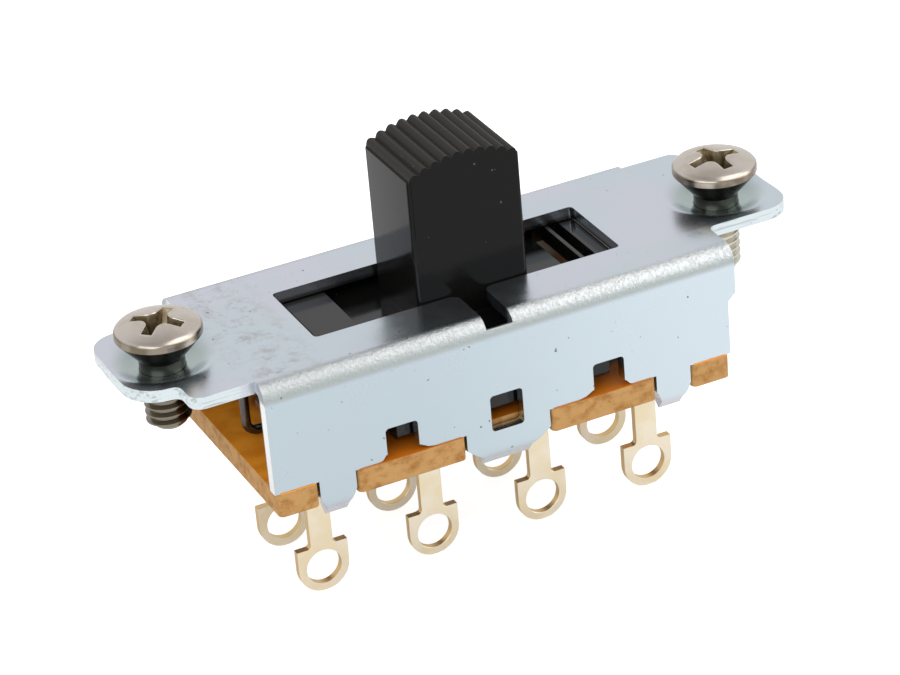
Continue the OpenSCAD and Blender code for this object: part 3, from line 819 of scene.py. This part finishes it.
@dataclass
class OvalHeadScrew:
    """A machine screw with an oval head, a cross recess and a rolled thread, partly screwed into an ear."""

    finishes: FinishShelf
    side: Side
    turn: float
    rim_h: float = 0.55
    rim_edge: float = 0.18
    dome_h: float = 0.66
    flat_h: float = 0.52
    thread_r: float = 1.42
    core_r: float = 1.12
    tip_edge: float = 0.25
    cone_angle: float = 41.0
    shank_end_z: float = -0.9
    thread_pitch: float = 0.53
    ridge_root: float = 0.44
    ridge_tip: float = 0.10
    thread_fade: float = 0.30
    recess_depth: float = 1.45
    wing_reach: float = 1.72
    wing_half: float = 0.40
    land_fillet: float = 0.55
    recess_taper: float = 0.27
    recess_waist: float = 0.95
    recess_shoulder: tuple[tuple[float, float], ...] = (
        (0.079, 0.046), (-0.021, -0.012), (-0.054, -0.045), (-0.066, -0.09)
    )
    steps: int = 72

    def __post_init__(self) -> None:
        """Measure the solid that the screw stands for."""
        self.node = f"screw_{self.side.name.lower()}"
        low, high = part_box(self.node)
        self.axis_x = (low.x + high.x) / 2 / MM
        self.head_r = (high.x - low.x) / 2 / MM
        self.rim_z = high.z / MM - self.dome_h
        self.tip_z = low.z / MM

    def build(self) -> list[bpy.types.Object]:
        """Make the screw and put it in its ear.

        Returns:
            The piece in a list.
        """
        body = self._turned_body()
        body = self._cut_recess(body)
        self._add_thread(body)
        turned = Matrix.Rotation(math.radians(self.turn), 4, "Z")
        placed = Matrix.Translation((self.axis_x, 0.0, 0.0)) @ turned
        bmesh.ops.transform(body, matrix=Matrix.Scale(MM, 4) @ placed, verts=body.verts)
        name = f"oval_screw_{self.side.name.lower()}"
        piece = Workshop.object_from(body, name, [self.finishes.nickel, self.finishes.recess])
        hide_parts(self.node)
        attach(piece, BASE_BODY)
        return [piece]

    @property
    def dome_r(self) -> float:
        """Radius of the dome's arc."""
        return (self.head_r**2 + self.flat_h**2) / (2 * self.flat_h)

    def dome_z(self, r: float) -> float:
        """Height of the dome at the radius r."""
        return self.rim_z + self.flat_h - self.dome_r + math.sqrt(self.dome_r**2 - r**2)

    def _outline(self) -> list[tuple[float, float]]:
        """The turned outline as radius and height, from the dome's middle to the tip's."""
        rim_in = self.head_r - self.rim_edge
        points = [(rim_in * i / 12, self.dome_z(rim_in * i / 12)) for i in range(13)]
        for i in range(1, 6):
            a = math.radians(75 - 18 * i)
            points.append((rim_in + self.rim_edge * math.cos(a), self.rim_z - self.rim_edge * (1 - math.sin(a))))
        low = self.rim_z - self.rim_h
        points.append((self.head_r, low + 0.05))
        points.append((self.head_r - 0.06, low - 0.03))
        neck_z = low - (self.head_r - self.thread_r) / math.tan(math.radians(self.cone_angle))
        points.append((self.thread_r, neck_z))
        points.append((self.thread_r, self.shank_end_z))
        points.append((self.core_r, self.shank_end_z - 0.15))
        points.append((self.core_r, self.tip_z + self.tip_edge))
        points.append((self.core_r - self.tip_edge, self.tip_z))
        points.append((0.0, self.tip_z))
        return points

    def _turned_body(self) -> bmesh.types.BMesh:
        """Turn the outline once round the axis."""
        bm = bmesh.new()
        verts = [bm.verts.new((r, 0.0, z)) for r, z in self._outline()]
        edges = [bm.edges.new(pair) for pair in zip(verts, verts[1:])]
        bmesh.ops.spin(
            bm, geom=verts + edges, cent=(0, 0, 0), axis=(0, 0, 1), dvec=(0, 0, 0),
            angle=math.tau, steps=self.steps, use_merge=True, use_normal_flip=False, use_duplicate=False,
        )
        bmesh.ops.remove_doubles(bm, verts=bm.verts, dist=1e-5)
        bmesh.ops.recalc_face_normals(bm, faces=bm.faces)
        return bm

    def _recess_outline(self, grow: float) -> list[tuple[float, float]]:
        """The recess from above: four square wings, with an arc round each land between them.

        Args:
            grow: How far the outline lies outside the nominal one.

        Returns:
            The points of the outline.
        """
        w, r, reach = self.wing_half + grow, self.land_fillet - grow, self.wing_reach + grow
        quarter = [(reach, -w), (reach, w)]
        quarter += [
            (w + r - r * math.sin(a), w + r - r * math.cos(a))
            for a in (math.radians(15 * i) for i in range(7))
        ]
        points = []
        for i in range(4):
            c, s = math.cos(i * math.pi / 2), math.sin(i * math.pi / 2)
            points += [(x * c - y * s, x * s + y * c) for x, y in quarter]
        return points

    def _cut_recess(self, body: bmesh.types.BMesh) -> bmesh.types.BMesh:
        """Cut the tapered cross into the dome, and round its rim.

        Args:
            body: The turned screw. It is freed.

        Returns:
            The screw with its recess, whose faces have the second material.
        """
        top = self.rim_z + self.flat_h
        tool = bmesh.new()
        shoulder = self.recess_shoulder
        loops = [[tool.verts.new((x, y, top + 0.4)) for x, y in self._recess_outline(shoulder[0][0])]]
        for grow, lift in shoulder:
            outline = [Vector(point) for point in self._recess_outline(grow)]
            loops.append([tool.verts.new((*p, self.dome_z(p.length) + lift)) for p in outline])
        floor = [p * (self.recess_waist - self.recess_taper * p.length) for p in outline]
        loops.append([tool.verts.new((*p, top - self.recess_depth)) for p in floor])
        for upper, lower in zip(loops, loops[1:]):
            for i in range(len(upper)):
                tool.faces.new((upper[i - 1], upper[i], lower[i], lower[i - 1]))
        for loop in (loops[0], loops[-1]):
            tool.faces.new(loop)
        result = Workshop.cut(body, tool)
        bmesh.ops.remove_doubles(result, verts=result.verts, dist=1e-3)
        for face in result.faces:
            centre = face.calc_center_median()
            r = centre.xy.length
            inside = r < self.wing_reach + 0.05 and centre.z > top - self.recess_depth - 0.05
            face.material_index = 1 if inside and centre.z < self.dome_z(r) - 0.06 else 0
        return result

    def _add_thread(self, body: bmesh.types.BMesh) -> None:
        """Wind the thread's ridge round the core as a closed strip that fades out at both ends.

        Args:
            body: The screw, to which the ridge is added.
        """
        start = self.tip_z + 0.06
        end = self.shank_end_z
        turns = (end - start - self.ridge_root) / self.thread_pitch
        per_turn = 40
        count = round(turns * per_turn)
        sunk = self.core_r - 0.06
        flank = (self.ridge_root - self.ridge_tip) / 2
        section = [
            (sunk, start), (self.thread_r, start + flank),
            (self.thread_r, start + flank + self.ridge_tip), (sunk, start + self.ridge_root),
        ]
        first = [body.verts.new((r, 0.0, z)) for r, z in section]
        edges = [body.edges.new((first[i], first[(i + 1) % 4])) for i in range(4)]
        old = set(body.verts) - set(first)
        spun = bmesh.ops.spin(
            body, geom=first + edges, cent=(0, 0, 0), axis=(0, 0, 1), dvec=(0, 0, self.thread_pitch / per_turn),
            angle=math.tau * count / per_turn, steps=count, use_merge=False, use_duplicate=False,
        )
        last = [v for v in spun["geom_last"] if isinstance(v, bmesh.types.BMVert)]
        bmesh.ops.contextual_create(body, geom=first)
        bmesh.ops.contextual_create(body, geom=last)
        ridge = [v for v in body.verts if v not in old]
        for vert in ridge:
            r = vert.co.xy.length
            room = min(vert.co.z - start, end - vert.co.z) / self.thread_fade
            limit = sunk + (self.thread_r - sunk) * min(1.0, max(0.15, room))
            if r > limit:
                vert.co.xy *= limit / r
        faces = list({f for v in ridge for f in v.link_faces})
        bmesh.ops.recalc_face_normals(body, faces=faces)


@dataclass
class PhotoCamera:
    """A camera at the photograph's place, solved from the switch's own corners. Angles are in degrees."""

    azimuth: float = -23.440
    elevation: float = 28.770
    roll: float = -5.083
    distance: float = 227.596
    shift_right: float = 0.223
    shift_up: float = -4.162
    focal_pixels: float = 3686.4
    image_width: float = 900.0
    sensor: float = 36.0

    def build(self) -> bpy.types.Object:
        """Make the camera and hand it to the scene.

        Returns:
            The camera.
        """
        a, e, t = (math.radians(v) for v in (self.azimuth, self.elevation, self.roll))
        back = Vector((math.sin(a) * math.cos(e), -math.cos(a) * math.cos(e), math.sin(e)))
        level = Vector((math.cos(a), math.sin(a), 0.0))
        upright = back.cross(level)
        right = level * math.cos(t) + upright * math.sin(t)
        up = upright * math.cos(t) - level * math.sin(t)
        place = (right * self.shift_right + up * self.shift_up + back * self.distance) * MM
        data = bpy.data.cameras.new("photo_camera")
        data.sensor_width = self.sensor
        data.sensor_fit = "HORIZONTAL"
        data.lens = self.focal_pixels / self.image_width * self.sensor
        data.clip_start = 0.01
        data.clip_end = 20.0
        camera = bpy.data.objects.new("photo_camera", data)
        camera.matrix_world = Matrix.Translation(place) @ Matrix((right, up, back)).transposed().to_4x4()
        bpy.context.scene.collection.objects.link(camera)
        bpy.context.scene.camera = camera
        return camera


@dataclass(frozen=True)
class Softbox:
    """One soft lamp: its place as a direction and a distance, its size in metres and its power in watts."""

    name: str
    direction: Colour
    distance: float
    size: tuple[float, float]
    power: float
    tint: Colour = (1.0, 1.0, 1.0)

    def build(self) -> None:
        """Hang the lamp, facing the switch."""
        data = bpy.data.lights.new(self.name, "AREA")
        data.shape = "RECTANGLE"
        data.size, data.size_y = self.size
        data.energy = self.power
        data.color = self.tint
        lamp = bpy.data.objects.new(self.name, data)
        towards = Vector(self.direction).normalized()
        lamp.location = towards * self.distance
        lamp.rotation_mode = "QUATERNION"
        lamp.rotation_quaternion = towards.to_track_quat("Z", "Y")
        bpy.context.scene.collection.objects.link(lamp)


@dataclass
class Studio:
    """White sweep, pale surroundings and soft lamps."""

    floor_z: float
    floor_size: float = 3.0
    floor_tone: float = 0.62
    floor_glow: float = 0.75
    floor_sheen: float = 0.26
    horizon: float = 1.06
    zenith: float = 0.56
    lamps: tuple[Softbox, ...] = field(
        default_factory=lambda: (
            Softbox("key_left", (-0.75, -0.55, 0.75), 0.6, (0.5, 0.5), 1.6),
            Softbox("fold_light", (0.36, -0.16, 0.92), 0.6, (0.5, 0.3), 0.7),
            Softbox("key_right", (0.9, -0.45, 0.5), 0.7, (0.5, 0.6), 1.8),
        )
    )

    def build(self) -> None:
        """Set up the whole studio."""
        self._floor()
        self._world()
        for lamp in self.lamps:
            lamp.build()
        bpy.context.scene.view_settings.view_transform = "Standard"

    def _floor(self) -> None:
        """A white floor that the camera and polished metal see as bright, with the switch's shadow on it."""
        bm = bmesh.new()
        bmesh.ops.create_grid(bm, x_segments=1, y_segments=1, size=self.floor_size / 2)
        bmesh.ops.translate(bm, vec=(0, 0, self.floor_z), verts=bm.verts)
        material = bpy.data.materials.new("white_floor")
        material.use_nodes = True
        tree = material.node_tree
        tree.nodes.clear()
        card = tree.nodes.new("ShaderNodeBsdfDiffuse")
        card.inputs["Color"].default_value = (self.floor_tone,) * 3 + (1.0,)
        glow = tree.nodes.new("ShaderNodeEmission")
        path = tree.nodes.new("ShaderNodeLightPath")
        parts = []
        for ray, strength in (("Is Camera Ray", self.floor_glow), ("Is Glossy Ray", self.floor_sheen)):
            part = tree.nodes.new("ShaderNodeMath")
            part.operation = "MULTIPLY"
            part.inputs[1].default_value = strength
            tree.links.new(path.outputs[ray], part.inputs[0])
            parts.append(part.outputs["Value"])
        seen = tree.nodes.new("ShaderNodeMath")
        seen.operation = "ADD"
        tree.links.new(parts[0], seen.inputs[0])
        tree.links.new(parts[1], seen.inputs[1])
        tree.links.new(seen.outputs["Value"], glow.inputs["Strength"])
        total = tree.nodes.new("ShaderNodeAddShader")
        tree.links.new(card.outputs["BSDF"], total.inputs[0])
        tree.links.new(glow.outputs["Emission"], total.inputs[1])
        output = tree.nodes.new("ShaderNodeOutputMaterial")
        tree.links.new(total.outputs["Shader"], output.inputs["Surface"])
        Workshop.object_from(bm, "studio_floor", [material])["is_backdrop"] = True

    def _world(self) -> None:
        """Pale surroundings, brighter at the horizon, with a white backdrop behind."""
        world = bpy.data.worlds.new("studio_room")
        bpy.context.scene.world = world
        world.use_nodes = True
        tree = world.node_tree
        tree.nodes.clear()
        coordinates = tree.nodes.new("ShaderNodeTexCoord")
        parts = tree.nodes.new("ShaderNodeSeparateXYZ")
        tree.links.new(coordinates.outputs["Generated"], parts.inputs["Vector"])
        height = tree.nodes.new("ShaderNodeMapRange")
        height.interpolation_type = "SMOOTHSTEP"
        height.inputs["From Min"].default_value = 0.62
        height.inputs["From Max"].default_value = 1.0
        height.inputs["To Min"].default_value = self.horizon
        height.inputs["To Max"].default_value = self.zenith
        tree.links.new(parts.outputs["Z"], height.inputs["Value"])
        path = tree.nodes.new("ShaderNodeLightPath")
        strength = tree.nodes.new("ShaderNodeMath")
        strength.operation = "MAXIMUM"
        tree.links.new(height.outputs["Result"], strength.inputs[0])
        tree.links.new(path.outputs["Is Camera Ray"], strength.inputs[1])
        background = tree.nodes.new("ShaderNodeBackground")
        tree.links.new(strength.outputs["Value"], background.inputs["Strength"])
        output = tree.nodes.new("ShaderNodeOutputWorld")
        tree.links.new(background.outputs["Background"], output.inputs["Surface"])


def main() -> None:
    """Build the switch and its studio."""
    logging.basicConfig(level=logging.INFO, format="%(name)s: %(message)s")
    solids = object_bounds()
    PhotoCamera().build()
    Studio(floor_z=solids[0].z).build()
    finishes = FinishShelf()
    assemblies: list[tuple[str, Callable[[], list[bpy.types.Object]]]] = [
        ("housing", Housing(finishes).build),
        ("terminals", Terminals(finishes).build),
        ("sliding knob", SlidingKnob(finishes).build),
        ("detent wire", DetentWire(finishes).build),
        ("left screw", OvalHeadScrew(finishes, Side.LEFT, 45.0).build),
        ("right screw", OvalHeadScrew(finishes, Side.RIGHT, 5.0).build),
    ]
    for name, build in assemblies:
        for piece in build():
            log.info("%s: %s, %d faces", name, piece.name, len(piece.data.polygons))


if __name__ == "__main__":
    main()
